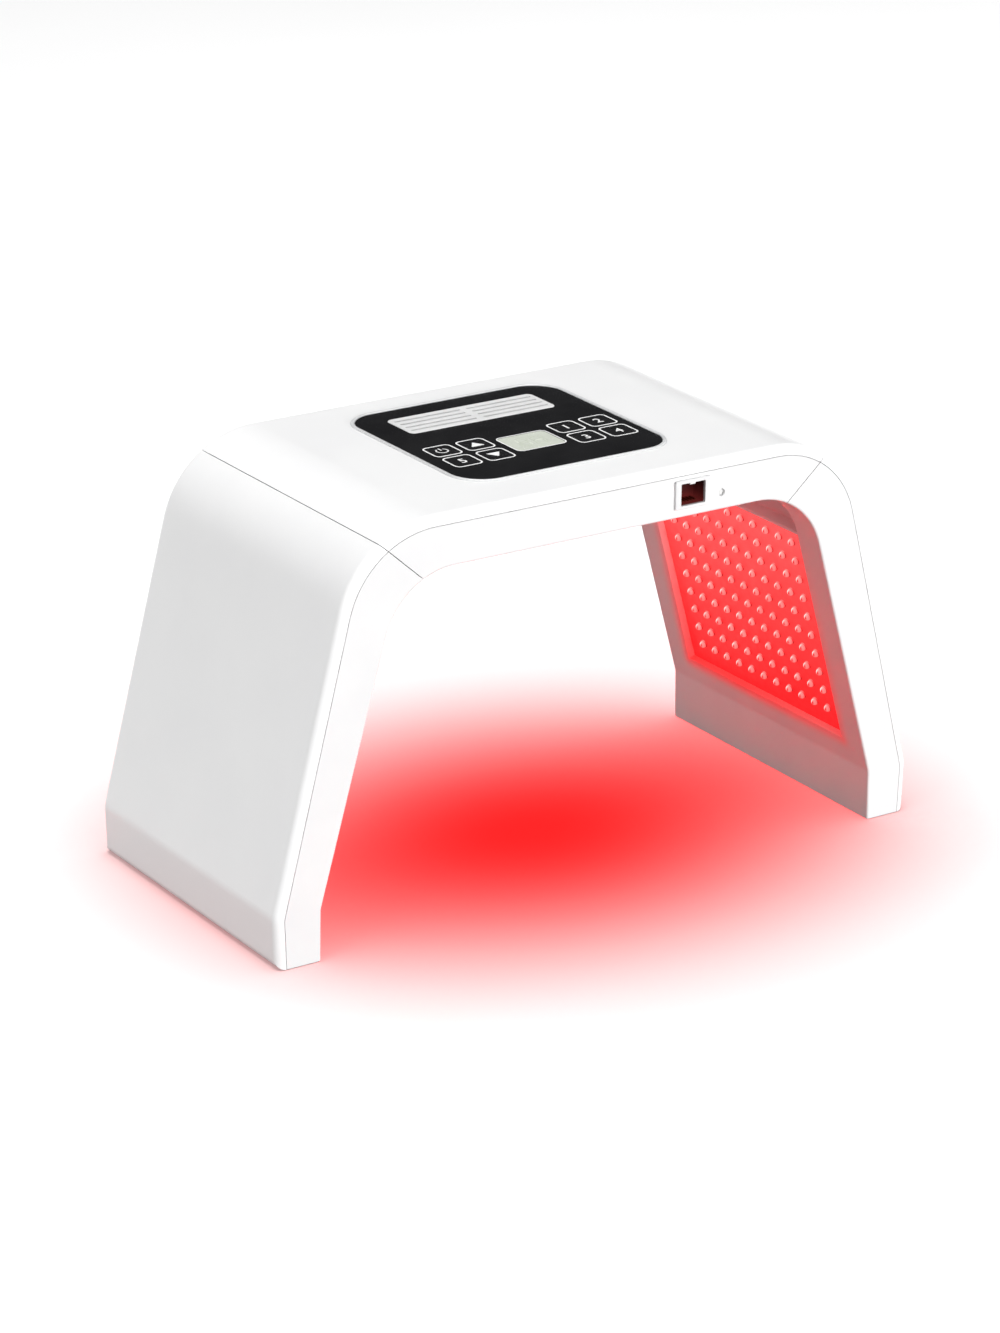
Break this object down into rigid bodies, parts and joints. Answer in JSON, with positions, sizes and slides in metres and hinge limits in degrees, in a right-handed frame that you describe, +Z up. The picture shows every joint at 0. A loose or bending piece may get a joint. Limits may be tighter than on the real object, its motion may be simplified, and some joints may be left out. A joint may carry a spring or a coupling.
{
  "type": "led light therapy arch",
  "caption": "Free-standing arch for light therapy of the face: a flat control module on two fold-in wings, each lined inside with a recessed board of domed lamps.",
  "frame": {"origin": "on the surface the arch stands on, under the middle of the arch", "axes": "+X across the arch towards the right wing, +Y from the socket face to the power inlet face, +Z up"},
  "size_m": [0.3938, 0.1832, 0.2228],
  "materials": {
    "shell_white": "smooth glossy white ABS",
    "fascia_black": "glossy black with white printed outlines and symbols",
    "ring_silver": "satin silver trim",
    "display_lens": "clear window over a pale greenish grey liquid crystal display",
    "black_plastic": "moulded black",
    "board_green": "green solder mask",
    "led_board_red": "board lit red by its lamps",
    "led_lens_red": "lit domed lamp",
    "steel": "zinc plated",
    "contact_brass": "plated contact",
    "foot_rubber": "matte grey",
    "ribbon_grey": "flat ribbon, fine ribs",
    "light_pipe": "milky clear"
  },
  "bodies": {
    "center": {"accessory_socket": "black_plastic", "control_board": "board_green", "control_board_chips": "black_plastic", "control_board_screws": "steel", "control_fascia": "fascia_black", "display_module": "black_plastic", "display_window": "display_lens", "fan_frame": "black_plastic", "fascia_ring": "ring_silver", "left_hinge_pins": "steel", "left_ribbon": "ribbon_grey", "power_inlet": "black_plastic", "power_inlet_pin": "contact_brass", "ribbon_sockets": "black_plastic", "right_hinge_pins": "steel", "right_ribbon": "ribbon_grey", "socket_collar": "shell_white", "socket_contacts": "contact_brass", "socket_key_rib": "black_plastic", "status_light": "light_pipe", "tact_switches": "black_plastic", "top_board_screws": "steel", "top_case_screws": "steel", "top_cover": "shell_white", "top_inner_frame": "shell_white", "top_led_board": "led_board_red", "top_led_lenses": "led_lens_red", "vent_grille": "shell_white"},
    "left_wing": {"left_board_screws": "steel", "left_case_screws": "steel", "left_foot_pads": "foot_rubber", "left_inner_frame": "shell_white", "left_led_board": "led_board_red", "left_led_lenses": "led_lens_red", "left_outer_cover": "shell_white", "left_ribbon_socket": "black_plastic"},
    "right_wing": {"right_board_screws": "steel", "right_case_screws": "steel", "right_foot_pads": "foot_rubber", "right_inner_frame": "shell_white", "right_led_board": "led_board_red", "right_led_lenses": "led_lens_red", "right_outer_cover": "shell_white", "right_ribbon_socket": "black_plastic"},
    "key_power": {"key_power": "fascia_black"},
    "key_up": {"key_up": "fascia_black"},
    "key_infrared": {"key_infrared": "fascia_black"},
    "key_down": {"key_down": "fascia_black"},
    "key_red": {"key_red": "fascia_black"},
    "key_green": {"key_green": "fascia_black"},
    "key_blue": {"key_blue": "fascia_black"},
    "key_cycle": {"key_cycle": "fascia_black"},
    "fan_rotor": {"fan_rotor": "black_plastic"}
  },
  "joints": [
    {"name": "left_fold", "type": "hinge", "parent": "center", "child": "left_wing", "pos_m": [-0.1105, 0, 0.19045], "axis": [0, -1, 0], "range_deg": [0, 50], "deforming": ["left_ribbon"]},
    {"name": "right_fold", "type": "hinge", "parent": "center", "child": "right_wing", "pos_m": [0.1105, 0, 0.19045], "axis": [0, 1, 0], "range_deg": [0, 50], "deforming": ["right_ribbon"]},
    {"name": "key_power_press", "type": "slide", "parent": "center", "child": "key_power", "axis": [0, 0, -1], "range_m": [0, 0.0004], "stiffness_N_per_m": 1200, "springref_m": -0.0004},
    {"name": "key_up_press", "type": "slide", "parent": "center", "child": "key_up", "axis": [0, 0, -1], "range_m": [0, 0.0004], "stiffness_N_per_m": 1200, "springref_m": -0.0004},
    {"name": "key_infrared_press", "type": "slide", "parent": "center", "child": "key_infrared", "axis": [0, 0, -1], "range_m": [0, 0.0004], "stiffness_N_per_m": 1200, "springref_m": -0.0004},
    {"name": "key_down_press", "type": "slide", "parent": "center", "child": "key_down", "axis": [0, 0, -1], "range_m": [0, 0.0004], "stiffness_N_per_m": 1200, "springref_m": -0.0004},
    {"name": "key_red_press", "type": "slide", "parent": "center", "child": "key_red", "axis": [0, 0, -1], "range_m": [0, 0.0004], "stiffness_N_per_m": 1200, "springref_m": -0.0004},
    {"name": "key_green_press", "type": "slide", "parent": "center", "child": "key_green", "axis": [0, 0, -1], "range_m": [0, 0.0004], "stiffness_N_per_m": 1200, "springref_m": -0.0004},
    {"name": "key_blue_press", "type": "slide", "parent": "center", "child": "key_blue", "axis": [0, 0, -1], "range_m": [0, 0.0004], "stiffness_N_per_m": 1200, "springref_m": -0.0004},
    {"name": "key_cycle_press", "type": "slide", "parent": "center", "child": "key_cycle", "axis": [0, 0, -1], "range_m": [0, 0.0004], "stiffness_N_per_m": 1200, "springref_m": -0.0004},
    {"name": "fan_spin", "type": "hinge", "parent": "center", "child": "fan_rotor", "pos_m": [0, 0.0392, 0.2136], "axis": [0, 0, 1], "continuous": true}
  ]
}
